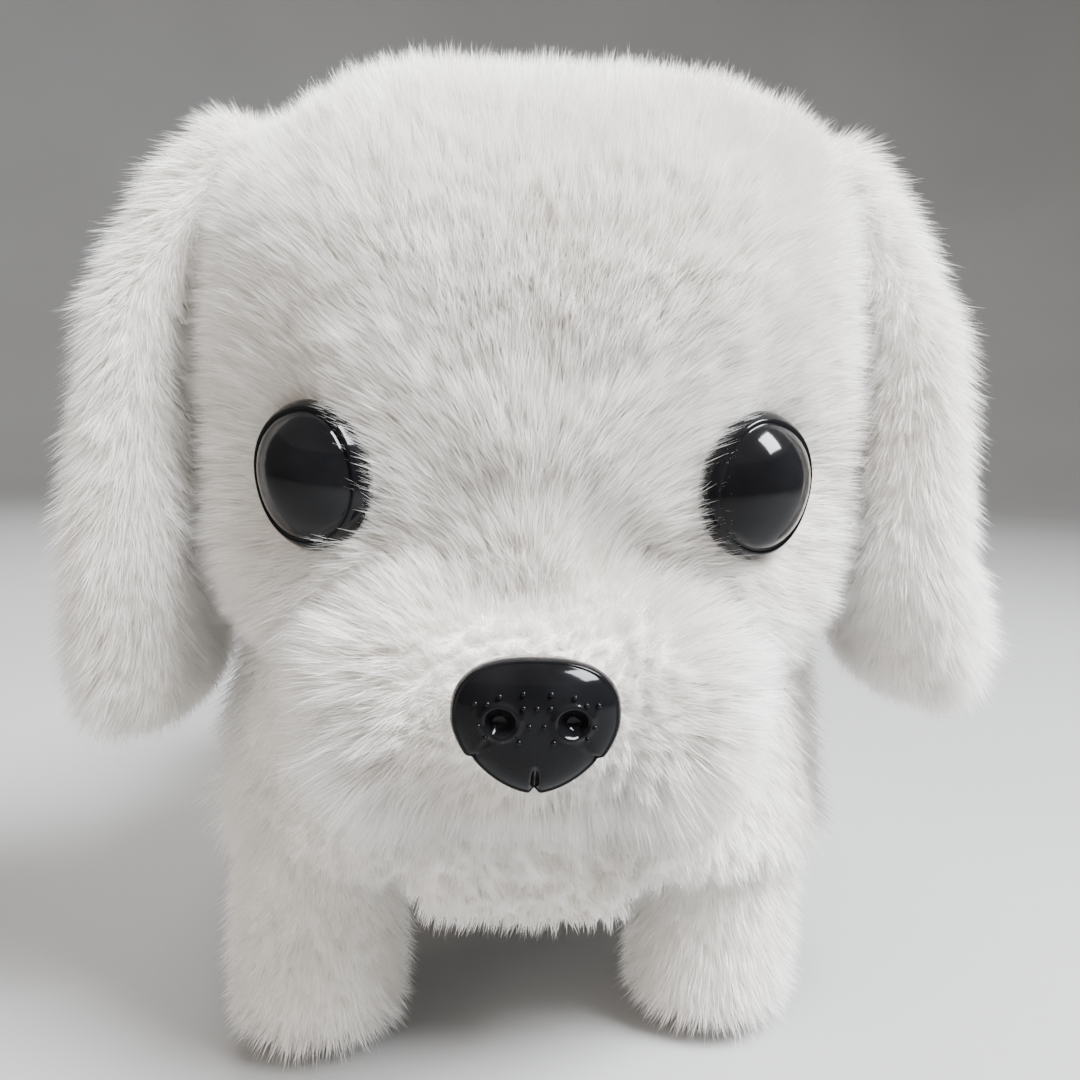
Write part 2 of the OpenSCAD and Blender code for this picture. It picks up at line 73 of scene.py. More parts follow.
HEAD_LOW, HEAD_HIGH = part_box("head_cover")
BODY_LOW, BODY_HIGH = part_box("body_cover")
NOSE_LOW, NOSE_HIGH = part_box("nose")
NOSE = Vector((0, NOSE_LOW.y + 4.5 * MM, (NOSE_LOW.z + NOSE_HIGH.z) / 2 + 0.2 * MM))
# degrees that each eye is turned outwards, and leans, and the length and radius of its shank in millimetres
EYE_YAW, EYE_ROLL = 27, 18
SHANK_LENGTH, SHANK_RADIUS = 13, 2.5


def eye_place(side):
    """The middle of an eye's rim: its shank reaches back from there, square to the rim."""
    low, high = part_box(("left" if side > 0 else "right") + "_eye")
    turn = math.radians(EYE_YAW)
    inner = low.x if side > 0 else -high.x
    x = inner + (SHANK_LENGTH * math.sin(turn) + SHANK_RADIUS * math.cos(turn)) * MM
    y = high.y - (SHANK_LENGTH * math.cos(turn) + SHANK_RADIUS * math.sin(turn)) * MM
    return Vector((side * x, y, (low.z + high.z) / 2))


EYES = {side: eye_place(side) for side in (-1, 1)}


# ---------------------------------------------------------------- nodes and materials
def new_material(name):
    m = bpy.data.materials.new(name)
    m.use_nodes = True
    nt = m.node_tree
    nt.nodes.clear()
    out = nt.nodes.new("ShaderNodeOutputMaterial")
    p = nt.nodes.new("ShaderNodeBsdfPrincipled")
    nt.links.new(p.outputs[0], out.inputs["Surface"])
    return m, nt, p, out


def node(nt, kind, **inputs):
    n = nt.nodes.new(kind)
    for key, value in inputs.items():
        n.inputs[key.replace("_", " ")].default_value = value
    return n


def noise(nt, scale, detail=3.0, rough=0.5):
    coords = nt.nodes.new("ShaderNodeTexCoord")
    n = node(nt, "ShaderNodeTexNoise", Scale=scale, Detail=detail, Roughness=rough)
    nt.links.new(coords.outputs["Object"], n.inputs["Vector"])
    return n


def ramp(nt, source, stops):
    r = nt.nodes.new("ShaderNodeValToRGB")
    nt.links.new(source, r.inputs["Fac"])
    while len(r.color_ramp.elements) < len(stops):
        r.color_ramp.elements.new(0.5)
    for e, (at, colour) in zip(r.color_ramp.elements, stops):
        e.position = at
        e.color = (*colour, 1)
    return r


def mix_colour(nt, kind, factor, a, b):
    m = nt.nodes.new("ShaderNodeMix")
    m.data_type = "RGBA"
    m.blend_type = kind
    for value, socket in ((factor, m.inputs[0]), (a, m.inputs[6]), (b, m.inputs[7])):
        if hasattr(value, "node"):
            nt.links.new(value, socket)
        else:
            socket.default_value = value
    return m.outputs[2]


def bump(nt, p, source, strength, distance):
    b = node(nt, "ShaderNodeBump", Strength=strength, Distance=distance)
    nt.links.new(source, b.inputs["Height"])
    nt.links.new(b.outputs["Normal"], p.inputs["Normal"])


def fibre_material():
    """Long white pile, with painted shade that makes it darker and warmer towards the root, and tone that changes
    from tuft to tuft.
    """
    m, nt, p, out = new_material("plush_pile")
    along = nt.nodes.new("ShaderNodeAttribute")
    along.attribute_name = "along"
    tone = nt.nodes.new("ShaderNodeAttribute")
    tone.attribute_name = "tone"
    # painted shade: each fibre's root end is darker and warmer, standing for the shade deep between the tufts
    length = ramp(nt, along.outputs["Fac"],
                  [(0.0, (0.86, 0.83, 0.79)), (0.4, (0.93, 0.915, 0.895)), (1.0, (0.975, 0.973, 0.97))])
    patches = ramp(nt, noise(nt, 60.0).outputs["Fac"],
                   [(0.3, (0.95, 0.935, 0.915)), (0.7, (1.0, 1.0, 1.0))])
    tufts = ramp(nt, tone.outputs["Fac"], [(0.0, (0.93, 0.92, 0.905)), (1.0, (1.0, 1.0, 1.0))])
    colour = mix_colour(nt, "MULTIPLY", 1.0, length.outputs[0], patches.outputs[0])
    colour = mix_colour(nt, "MULTIPLY", 1.0, colour, tufts.outputs[0])
    nt.links.new(colour, p.inputs["Base Color"])
    p.inputs["Roughness"].default_value = 0.42
    p.inputs["Specular IOR Level"].default_value = 0.5
    p.inputs["Sheen Weight"].default_value = 0.25
    p.inputs["Sheen Roughness"].default_value = 0.4
    through = nt.nodes.new("ShaderNodeBsdfTranslucent")
    nt.links.new(colour, through.inputs["Color"])
    mixer = nt.nodes.new("ShaderNodeMixShader")
    mixer.inputs[0].default_value = 0.4
    nt.links.new(p.outputs[0], mixer.inputs[1])
    nt.links.new(through.outputs[0], mixer.inputs[2])
    nt.links.new(mixer.outputs[0], out.inputs["Surface"])
    return m


def backing_material():
    """The knitted backing that the pile grows from."""
    m, nt, p, out = new_material("plush_backing")
    coords = nt.nodes.new("ShaderNodeTexCoord")
    knit = node(nt, "ShaderNodeTexVoronoi", Scale=900.0)
    nt.links.new(coords.outputs["Object"], knit.inputs["Vector"])
    # painted shade: the warm grey, darker than the white pile, stands for the shade where the backing shows between
    # the tufts; the patches in it are random tone
    colour = ramp(nt, noise(nt, 90.0).outputs["Fac"],
                  [(0.3, (0.80, 0.77, 0.73)), (0.7, (0.88, 0.86, 0.83))])
    nt.links.new(colour.outputs[0], p.inputs["Base Color"])
    p.inputs["Roughness"].default_value = 0.9
    p.inputs["Sheen Weight"].default_value = 0.3
    bump(nt, p, knit.outputs["Distance"], 0.5, 0.0003)
    return m


def gloss_material(name, colour, scale=140.0, shine=0.18):
    """Polished black plastic with faint haze and fine swirl marks."""
    m, nt, p, out = new_material(name)
    haze = noise(nt, scale, 4.0)
    tint = ramp(nt, haze.outputs["Fac"], [(0.3, colour), (0.8, tuple(c * 1.6 + 0.002 for c in colour))])
    nt.links.new(tint.outputs[0], p.inputs["Base Color"])
    r = ramp(nt, haze.outputs["Fac"], [(0.3, (0.06,) * 3), (0.75, (0.13,) * 3)])
    nt.links.new(r.outputs[0], p.inputs["Roughness"])
    p.inputs["Specular IOR Level"].default_value = shine
    bump(nt, p, noise(nt, 260.0, 2.0).outputs["Fac"], 0.03, 0.0002)
    return m


def plastic_material(name, colour, rough=0.45):
    """Moulded plastic with a fine spark-eroded grain."""
    m, nt, p, out = new_material(name)
    tint = ramp(nt, noise(nt, 45.0).outputs["Fac"],
                [(0.3, tuple(c * 0.93 for c in colour)), (0.7, colour)])
    nt.links.new(tint.outputs[0], p.inputs["Base Color"])
    p.inputs["Roughness"].default_value = rough
    bump(nt, p, noise(nt, 2600.0, 2.0).outputs["Fac"], 0.12, 0.0001)
    return m


def steel_material():
    m, nt, p, out = new_material("steel_parts")
    streaks = noise(nt, 700.0, 2.0)
    tint = ramp(nt, streaks.outputs["Fac"], [(0.3, (0.55, 0.56, 0.58)), (0.7, (0.74, 0.75, 0.77))])
    nt.links.new(tint.outputs[0], p.inputs["Base Color"])
    p.inputs["Metallic"].default_value = 1.0
    p.inputs["Roughness"].default_value = 0.32
    return m


PILE = fibre_material()
BACKING = backing_material()
EYE_BLACK = gloss_material("eye_black", (0.0025, 0.0025, 0.003))
NOSE_BLACK = gloss_material("nose_black", (0.0025, 0.0025, 0.003), 170.0, 0.12)
BY_SLOT = {
    "shell_plastic": plastic_material("shell_white", (0.80, 0.79, 0.76)),
    "gear_plastic": plastic_material("gear_ivory", (0.86, 0.82, 0.68), 0.35),
    "steel": steel_material(),
    "board": plastic_material("board_green", (0.05, 0.24, 0.12), 0.3),
    "dark_plastic": plastic_material("dark_plastic", (0.05, 0.05, 0.05)),
    "cell_wrap": plastic_material("cell_wrap", (0.10, 0.16, 0.15), 0.25),
    "washer_plastic": plastic_material("washer_grey", (0.7, 0.7, 0.7)),
    "filling": plastic_material("filling_white", (0.9, 0.9, 0.89), 0.95),
    "plush": BACKING,
    "eye_plastic": EYE_BLACK,
    "nose_plastic": NOSE_BLACK,
}
for part in frame["record"]["subparts"]:
    shown = frame["nodes"][part["node"]]
    for s in shown.material_slots:
        s.material = BY_SLOT[part["material_slot"]]


# ---------------------------------------------------------------- mesh helpers
def link(ob):
    scene.collection.objects.link(ob)
    return ob


def evaluated(ob, name):
    """Applies an object's modifiers and gives it a plain mesh."""
    graph = bpy.context.evaluated_depsgraph_get()
    mesh = bpy.data.meshes.new_from_object(ob.evaluated_get(graph), depsgraph=graph)
    old = ob.data
    ob.modifiers.clear()
    ob.data = mesh
    mesh.name = name
    bpy.data.meshes.remove(old)
    return ob


def soft_form(name, groups, voxel, smooth):
    """Each group is a list of balls (x, y, z, radius), in millimetres, and becomes their convex hull. The hulls are
    merged into one closed skin and relaxed until they flow into each other."""
    bm = bmesh.new()
    for balls in groups:
        part = bmesh.new()
        for x, y, z, r in balls:
            bmesh.ops.create_icosphere(part, subdivisions=3, radius=r * MM,
                                       matrix=Matrix.Translation((x * MM, y * MM, z * MM)))
        hull = bmesh.ops.convex_hull(part, input=part.verts, use_existing_faces=False)
        faces = {g for g in hull["geom"] if isinstance(g, bmesh.types.BMFace)}
        corners = {v for f in faces for v in f.verts}
        bmesh.ops.delete(part, geom=[v for v in part.verts if v not in corners], context="VERTS")
        bmesh.ops.delete(part, geom=[f for f in part.faces if f not in faces], context="FACES_ONLY")
        mesh = bpy.data.meshes.new("part")
        part.to_mesh(mesh)
        part.free()
        bm.from_mesh(mesh)
        bpy.data.meshes.remove(mesh)
    mesh = bpy.data.meshes.new(name)
    bm.to_mesh(mesh)
    bm.free()
    ob = link(bpy.data.objects.new(name, mesh))
    m = ob.modifiers.new("remesh", "REMESH")
    m.mode = "VOXEL"
    m.voxel_size = voxel * MM
    m = ob.modifiers.new("relax", "SMOOTH")
    m.factor = 0.5
    m.iterations = smooth
    evaluated(ob, name)
    for f in ob.data.polygons:
        f.use_smooth = True
    return ob


def points_of(ob):
    co = np.empty(len(ob.data.vertices) * 3, np.float32)
    ob.data.vertices.foreach_get("co", co)
    return co.reshape(-1, 3).astype(float) / MM


def set_points(ob, co):
    ob.data.vertices.foreach_set("co", (co * MM).astype(np.float32).ravel())
    ob.data.update()


def normals_of(ob):
    n = np.empty(len(ob.data.vertices) * 3, np.float32)
    ob.data.vertices.foreach_get("normal", n)
    return n.reshape(-1, 3).astype(float)


def unit(v):
    return v / np.maximum(np.linalg.norm(v, axis=-1, keepdims=True), 1e-9)


def falloff(p, at, radius):
    """1 at a point, fading to 0 over a few radii."""
    d = (p - np.asarray(at)) / np.asarray(radius)
    return np.exp(-(d * d).sum(1))


def smoothstep(x, a, b):
    t = np.clip((x - a) / (b - a), 0, 1)
    return t * t * (3 - 2 * t)


# ---------------------------------------------------------------- pile
def hashed(cells, seed):
    """Three repeatable random numbers for each whole-numbered cell."""
    h = (cells[:, 0] * 73856093) ^ (cells[:, 1] * 19349663) ^ (cells[:, 2] * 83492791) ^ (seed * 2654435)
    out = []
    for k in range(3):
        x = (h * 2246822519 + k * 3266489917) & 0xFFFFFFFF
        x ^= x >> 15
        x = (x * 2654435761) & 0xFFFFFFFF
        x ^= x >> 13
        out.append((x & 0xFFFF) / 65535.0)
    return np.stack(out, 1)


def tuft_centres(p, cell, seed):
    """The nearest of a set of scattered tuft centres, and a random tone for each tuft."""
    base = np.floor(p / cell).astype(np.int64)
    best = np.full(len(p), 1e9)
    centre_at = p.copy()
    tone = np.zeros(len(p))
    for dx in (-1, 0, 1):
        for dy in (-1, 0, 1):
            for dz in (-1, 0, 1):
                c = base + np.array([dx, dy, dz])
                r = hashed(c, seed)
                at = (c + r) * cell
                d = ((p - at) ** 2).sum(1)
                closer = d < best
                best[closer] = d[closer]
                centre_at[closer] = at[closer]
                tone[closer] = r[closer, 0] * 0.5 + r[closer, 2] * 0.5
    return centre_at, tone


def grow(name, skin, count, length, comb, seed, width=0.2, steps=3, tuft=3.0, pull=0.3,
         density=None, scale=None, stray=0.16, sag=0.12, floor=None, keep=None, tousle=None):
    """Grows count fibres on a skin, as narrow tapering ribbons. comb(p, n) gives the direction the pile is brushed
    in and how strongly; density(p, n) and scale(p, n) change how thick and how long it is from place to place, and
    tousle(p, n) how far each tuft strays from its neighbours. keep(p) says which roots stay, and no fibre goes
    below floor."""
    rng = np.random.default_rng(seed)
    me = skin.data
    me.calc_loop_triangles()
    tri = np.empty(len(me.loop_triangles) * 3, np.int32)
    me.loop_triangles.foreach_get("vertices", tri)
    tri = tri.reshape(-1, 3)
    co, no = points_of(skin), normals_of(skin)
    a, b, c = co[tri[:, 0]], co[tri[:, 1]], co[tri[:, 2]]
    weight = np.linalg.norm(np.cross(b - a, c - a), axis=1)
    mid, mid_n = (a + b + c) / 3, unit(no[tri].mean(1))
    if density is not None:
        weight = weight * density(mid, mid_n)
    pick = rng.choice(len(tri), count, p=weight / weight.sum())
    u, v = rng.random(count), rng.random(count)
    over = u + v > 1
    u[over], v[over] = 1 - u[over], 1 - v[over]
    w = 1 - u - v
    ids = tri[pick]
    root = co[ids[:, 0]] * w[:, None] + co[ids[:, 1]] * u[:, None] + co[ids[:, 2]] * v[:, None]
    n = unit(no[ids[:, 0]] * w[:, None] + no[ids[:, 1]] * u[:, None] + no[ids[:, 2]] * v[:, None])
    if keep is not None:
        kept = keep(root)
        root, n = root[kept], n[kept]
        count = len(root)
    brushed = comb(root, n)
    brushed = brushed - n * (brushed * n).sum(1, keepdims=True)
    at, tone = tuft_centres(root, tuft, seed)
    wave_at, _ = tuft_centres(root, tuft * WAVE_TO_TUFT, seed + 7)
    swirl = hashed(np.floor(wave_at * 7).astype(np.int64), seed + 3) - 0.5
    apart = swirl * 0.42 + (hashed(np.floor(at * 9).astype(np.int64), seed + 5) - 0.5) * 0.36
    ruffle = np.ones((count, 1)) if tousle is None else tousle(root, n)[:, None]
    apart = apart * ruffle
    lean = unit(n + brushed + rng.normal(0, stray, (count, 3)) + apart)
    long = length * (0.68 + 0.4 * rng.random(count)) * (0.84 + 0.32 * tone)
    if scale is not None:
        long = long * scale(root, n)
    to_centre = at - root
    to_centre = to_centre - n * (to_centre * n).sum(1, keepdims=True)
    bend = brushed * 0.35 + np.array([0, 0, -1.0]) * sag
    curl = rng.normal(0, 0.085, (count, 3))
    side = unit(np.cross(lean, rng.normal(size=(count, 3))))
    ts = np.linspace(0, 1, steps + 1)
    rows = 2 * steps + 1
    pts = np.zeros((count, rows, 3), np.float32)
    thick = width * (0.75 + 0.5 * rng.random(count))
    for i, t in enumerate(ts):
        mid_line = (root - n * ROOT_DEPTH + lean * (long * t)[:, None] + bend * (long * t * t)[:, None]
                    + curl * (long * t * t)[:, None] + to_centre * (0.6 + 0.45 * ruffle) * (pull * t ** 1.3))
        if floor is not None:
            mid_line[:, 2] = np.maximum(mid_line[:, 2], floor + 0.25 * (1 - t))
        if i == steps:
            pts[:, 2 * i] = mid_line
        else:
            half = side * (thick * 0.5 * (1 - TAPER * t))[:, None]
            pts[:, 2 * i] = mid_line - half
            pts[:, 2 * i + 1] = mid_line + half
    base = (np.arange(count) * rows)[:, None]
    quad = np.concatenate([base + np.array([2 * i, 2 * i + 1, 2 * i + 3, 2 * i + 2]) for i in range(steps - 1)], 1)
    tips = base + np.array([2 * steps - 2, 2 * steps - 1, 2 * steps])
    loops = np.concatenate([quad.reshape(-1), tips.reshape(-1)]).astype(np.int32)
    quads = count * (steps - 1)
    starts = np.concatenate([np.arange(quads) * 4, quads * 4 + np.arange(count) * 3]).astype(np.int32)
    mesh = bpy.data.meshes.new(name)
    mesh.vertices.add(count * rows)
    mesh.vertices.foreach_set("co", (pts * MM).astype(np.float32).ravel())
    mesh.loops.add(len(loops))
    mesh.loops.foreach_set("vertex_index", loops)
    mesh.polygons.add(quads + count)
    mesh.polygons.foreach_set("loop_start", starts)
    mesh.update(calc_edges=True)
    along = mesh.attributes.new("along", "FLOAT", "POINT")
    line = np.repeat(ts, 2)[:rows]
    along.data.foreach_set("value", np.tile(line, count).astype(np.float32))
    tuft_tone = mesh.attributes.new("tone", "FLOAT", "POINT")
    tuft_tone.data.foreach_set("value", np.repeat(tone, rows).astype(np.float32))
    mesh.materials.append(PILE)
    ob = link(bpy.data.objects.new(name, mesh))
    return ob


# ---------------------------------------------------------------- head
def mm(v):
    """A place as an array, in millimetres."""
    return np.array([v.x, v.y, v.z]) / MM


head_x = HEAD_HIGH.x / MM
head_top = HEAD_HIGH.z / MM
head_back = HEAD_HIGH.y / MM
face = HEAD_LOW.y / MM
nose = mm(NOSE)
eyes = {s: mm(EYES[s]) for s in EYES}

mid_y = head_back - 31
skull = [(s * 18, mid_y, head_top - 31, 29.4) for s in (-1, 1)]
skull += [(s * (head_x - 21.5), mid_y, head_top - 24, 19.8) for s in (-1, 1)]
skull += [(s * (head_x - 28.5), mid_y - 4, head_top - 62, 25.2) for s in (-1, 1)]
brow = [(s * 14, face + 32, head_top - 45, 20.5) for s in (-1, 1)] + [(0, face + 29, head_top - 54, 19)]
bridge = [(0, face + 29, 84, 17.5), (0, face + 21, 72, 14)]
muzzle = [(s * 11.5, face + 17.6, 60.5, 16.0) for s in (-1, 1)] + [(0, face + 16, 57, 14), (0, face + 25, 71, 16)]
head = soft_form("head_skin", [skull, brow, bridge, muzzle], 1.5, 12)
p = points_of(head)
n = normals_of(head)
for s in (-1, 1):
    # eye sockets, and the cheeks that swell below them
    p -= n * (falloff(p, eyes[s] + [s * 3.2, 4, 0], (8.5, 12, 11)) * 2.6)[:, None]
    p += n * (falloff(p, eyes[s] + [s * 1, 8, -18], (11, 14, 7)) * 1.6)[:, None]
# the crown sinks a little above the right ear's root
p -= np.array([0, 0, 1.0]) * (falloff(p, [-35.5, mid_y, head_top - 5], (10.5, 45, 15)) * 3.6)[:, None]
# a shallow hollow where the muzzle meets the bridge
p -= n * (falloff(p, [0, face + 10, nose[2] + 13], (9, 10, 4.5)) * 1.3)[:, None]
set_points(head, p)
head.data.materials.append(BACKING)


def head_comb(p, n):
    """Away from the nose all over the face, then up over the crown and down at the back and sides."""
    d = p - nose
    d = unit(d - n * (d * n).sum(1, keepdims=True))
    front = smoothstep(-p[:, 1], 30, 62)[:, None]
    down = np.array([0, 0.25, -1.0])
    over = np.array([0, 1.0, 0.1])
    high = smoothstep(p[:, 2], head_top - 28, head_top - 6)[:, None]
    rest = unit(over * high + down * (1 - high))
    up_face = smoothstep(p[:, 2], nose[2] + 10, nose[2] + 24)[:, None]
    from_nose = np.linalg.norm((p - nose) * np.array([1, 0.5, 1]), axis=1)[:, None]
    forehead = smoothstep(p[:, 2], 92, 112)[:, None]
    spread = 0.34 + (0.5 - 0.3 * forehead) * up_face + 0.24 * smoothstep(from_nose, 14, 22) * (1 - up_face)
    out = d * (spread * front) + rest * (0.42 * (1 - front))
    side = smoothstep(np.abs(p[:, 0]), head_x - 16, head_x - 3)[:, None]
    out = out * (1 - 0.6 * side) + (down * 0.45 + np.sign(p[:, :1]) * np.array([0.2, 0, 0])) * side
    low = smoothstep(-p[:, 2], -56, -44)[:, None]
    out = out + np.array([0, 0, -0.45]) * low * front
    # round each eye the pile parts outwards, except on the inner side, where it hangs over the rim
    for s in (-1, 1):
        e = p - eyes[s]
        near = np.exp(-((e / np.array([13, 14, 15])) ** 2).sum(1))[:, None]
        outer = smoothstep(s * e[:, 0], -7, -1)[:, None]
        out = out * (1 - 0.5 * near) + unit(e - n * (e * n).sum(1, keepdims=True)) * near * (0.75 * outer)
        out = out + np.array([s * 0.85, 0, 0]) * near * (1 - outer)
    return out


def head_scale(p, n):
    """Short round the eyes and the nose, and longest in the ruff round the muzzle and the fringe below it."""
    out = np.ones(len(p))
    for s in (-1, 1):
        e = (p - eyes[s]) / np.array([11.5, 14, 13.5])
        inner = 1 - smoothstep(s * (p[:, 0] - eyes[s][0]), -8, -3)
        out *= 1 - (0.62 - 0.46 * inner) * np.exp(-((e ** 2).sum(1)) ** 1.5)
    d = np.linalg.norm((p - nose) / np.array([12.5, 12, 10.5]), axis=1)
    out *= 0.34 + 0.66 * smoothstep(d, 0.75, 2.3)
    q = (p - np.array([0, 0, nose[2]])) / np.array([1.15, 1, 1])
    ruff = (smoothstep(np.hypot(q[:, 0], q[:, 2]), 13, 20) * smoothstep(-p[:, 1], 56, 70)
            * smoothstep(-p[:, 2], -74, -62))
    fringe = smoothstep(-q[:, 2], 2, 9) * smoothstep(np.abs(q[:, 0]), 2, 9)
    out *= 1 - 0.14 * smoothstep(p[:, 2], 94, 114)
    return out * (1 + (0.3 + 0.5 * fringe) * ruff)


def head_tousle(p, n):
    """Smooth between and above the eyes, ruffled on the crown and the muzzle."""
    crown = smoothstep(p[:, 2], head_top - 34, head_top - 12)
    muzzle_part = smoothstep(-p[:, 2], -74, -64)
    return 0.4 + 0.5 * crown + 0.9 * muzzle_part


def clear_of_parts(p):
    """Bare behind the eyes and the nose, and at the neck."""
    keep = np.ones(len(p), bool)
    for s in (-1, 1):
        turn = math.radians(EYE_YAW) * s
        e = p - eyes[s]
        u = e[:, 0] * math.cos(turn) + e[:, 1] * math.sin(turn)
        keep &= ~((u / 7.2) ** 2 + (e[:, 2] / 8.6) ** 2 < 1) | (p[:, 1] > -50)
    q = p - nose
    keep &= ~(((q[:, 0] / 7.4) ** 2 + (q[:, 2] / 5.4) ** 2 < 1) & (p[:, 1] < -70))
    keep &= ~((p[:, 1] > -50) & (p[:, 2] < 60) & (np.abs(p[:, 0]) < 34))
    return keep


head_pile = grow("head_pile", head, 330000, 6.6, head_comb, 11, width=0.118, steps=3, tuft=2.4, pull=0.42,
                 density=lambda p, n: 0.5 + 1.6 * smoothstep(-p[:, 1], 38, 60), scale=head_scale,
                 keep=clear_of_parts, stray=0.16, sag=0.05, tousle=head_tousle)

# ---------------------------------------------------------------- ears
for s, side in ((1, "left"), (-1, "right")):
    low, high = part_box(side + "_ear")
    lo, hi = mm(low), mm(high)
    outer = hi[0] if s > 0 else -lo[0]
    ym = (lo[1] + hi[1]) / 2
    # the left flap kicks out a little at its lower end, the right one hangs straight and a little lower
    kick, drop, tuck = (4.4, -3.2, 2.6) if s > 0 else (0.0, 2.5, 0.9)

    def ball(inward, dy, z, r, s=s, outer=outer, ym=ym):
        return (s * (outer - inward), ym + dy, z, r)

    root = [ball(30, -7, hi[2] + 0.5, 4.4), ball(30, 8, hi[2] + 0.5, 4.4)]
    fold = [ball(23.0 + tuck, -9.5, hi[2] - 6.5, 4.2), ball(23.0 + tuck, 9.5, hi[2] - 6.5, 4.2)]
    upper = [ball(16.6 + tuck, -12.5, hi[2] - 24, 5.6), ball(16.6 + tuck, 12.5, hi[2] - 24, 5.6)]
    lower = [ball(15.0 + tuck, -13, lo[2] + 26, 7.0), ball(15.0 + tuck, 13, lo[2] + 26, 7.0)]
    end = [ball(14.4 + tuck - kick, dy, lo[2] + 10 - drop, 7.4) for dy in (-9, 9)]
    ear = soft_form(side + "_ear_skin", [root + fold, fold + upper, upper + lower, lower + end], 1.3, 8)
    ear.data.materials.append(BACKING)
    out_way = np.array([s * 1.0, 0, 0])

    def ear_comb(p, n, out_way=out_way, lo=lo, hi=hi):
        low = smoothstep(-p[:, 2], -lo[2] - 24, -lo[2] - 6)[:, None]
        top = smoothstep(p[:, 2], hi[2] - 20, hi[2] - 4)[:, None]
        return np.array([0, -0.06, -0.6]) * (1 - 0.5 * top) + out_way * (0.25 * low + 0.5 * top)

    pile = grow(side + "_ear_pile", ear, 88000, 6.0, ear_comb, 21 + s, width=0.13, steps=2, tuft=2.2, pull=0.3,
                scale=lambda p, n, s=s: 0.7 + 0.3 * smoothstep(s * n[:, 0], -0.3, 0.4), stray=0.11, sag=0.1,
                tousle=lambda p, n: np.full(len(p), 0.7))
    pivot = Vector(joint(side + "_ear_lift")["pos_m"])
    for piece in (ear, pile):
        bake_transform(piece)

# ---------------------------------------------------------------- body
bl, bh = mm(BODY_LOW), mm(BODY_HIGH)
half = bh[0]
hem = 34
front_at, rear_at = (half - 26.5, bl[1] + 26.5), (half - 30.5, bh[1] - 30.5)
shell = [(s * (front_at[0] - 1.8), front_at[1] + 2, 54, 22.6) for s in (-1, 1)]
shell += [(s * rear_at[0], rear_at[1], 62, 28.5) for s in (-1, 1)] + [(0, 12, 66, 28)]
for s in (-1, 1):
    for (cx, cy), r, first in ((front_at, 17.8, -90), (rear_at, 23.5, 0)):
        for turn in (0, 30, 60, 90):
            a = math.radians(first + turn)
            shell.append((s * (cx + r * math.cos(a)), cy + r * math.sin(a), hem, 5))
flap = [(s * 12, bl[1] + 4.5, z, 3.0) for s in (-1, 1) for z in (BODY_LOW.z / MM + 5.5, 44)]
body = soft_form("body_skin", [shell, flap], 1.8, 10)
body.data.materials.append(BACKING)


def body_comb(p, n):
    """Back along the spine, down the sides and the chest, and spread outwards at the hem."""
    side = smoothstep(1 - n[:, 2], 0.2, 0.8)[:, None]
    flat = p * np.array([1, 1, 0])
    return (np.array([0, 0.55, -0.1]) * (1 - side) + np.array([0, 0.1, -0.66]) * side
            + unit(flat) * 0.1 * side)


def body_scale(p, n):
    """Longest at the hem, and shorter on the chest, at the shoulders and underneath."""
    low = smoothstep(-p[:, 2], -42, -31)
    under = smoothstep(-n[:, 2], 0.55, 0.85)
    chest = smoothstep(-p[:, 1], 55, 64) * smoothstep(-p[:, 2], -50, -30)
    shoulder = smoothstep(-p[:, 1], 40, 56)
    return (1 + 0.2 * low - 0.5 * chest) * (1 - 0.45 * under) * (1 - 0.42 * shoulder)


def body_density(p, n):
    """Thickest on the chest and along the hem."""
    return 1 + 1.4 * smoothstep(-p[:, 1], 50, 62) + 0.5 * smoothstep(-p[:, 2], -42, -31)


def off_the_chassis(p):
    """Bare round the opening for the belly plate."""
    return ~((np.abs(p[:, 0]) < 19.5) & (p[:, 1] > -64.5) & (p[:, 1] < 69.5) & (p[:, 2] < 34))


body_pile = grow("body_pile", body, 150000, 7.6, body_comb, 31, width=0.19, steps=2, tuft=2.8, pull=0.32,
                 scale=body_scale, density=body_density, keep=off_the_chassis, stray=0.12, sag=0.1,
                 tousle=lambda p, n: 0.9 + 0.9 * smoothstep(-p[:, 2], -42, -31))

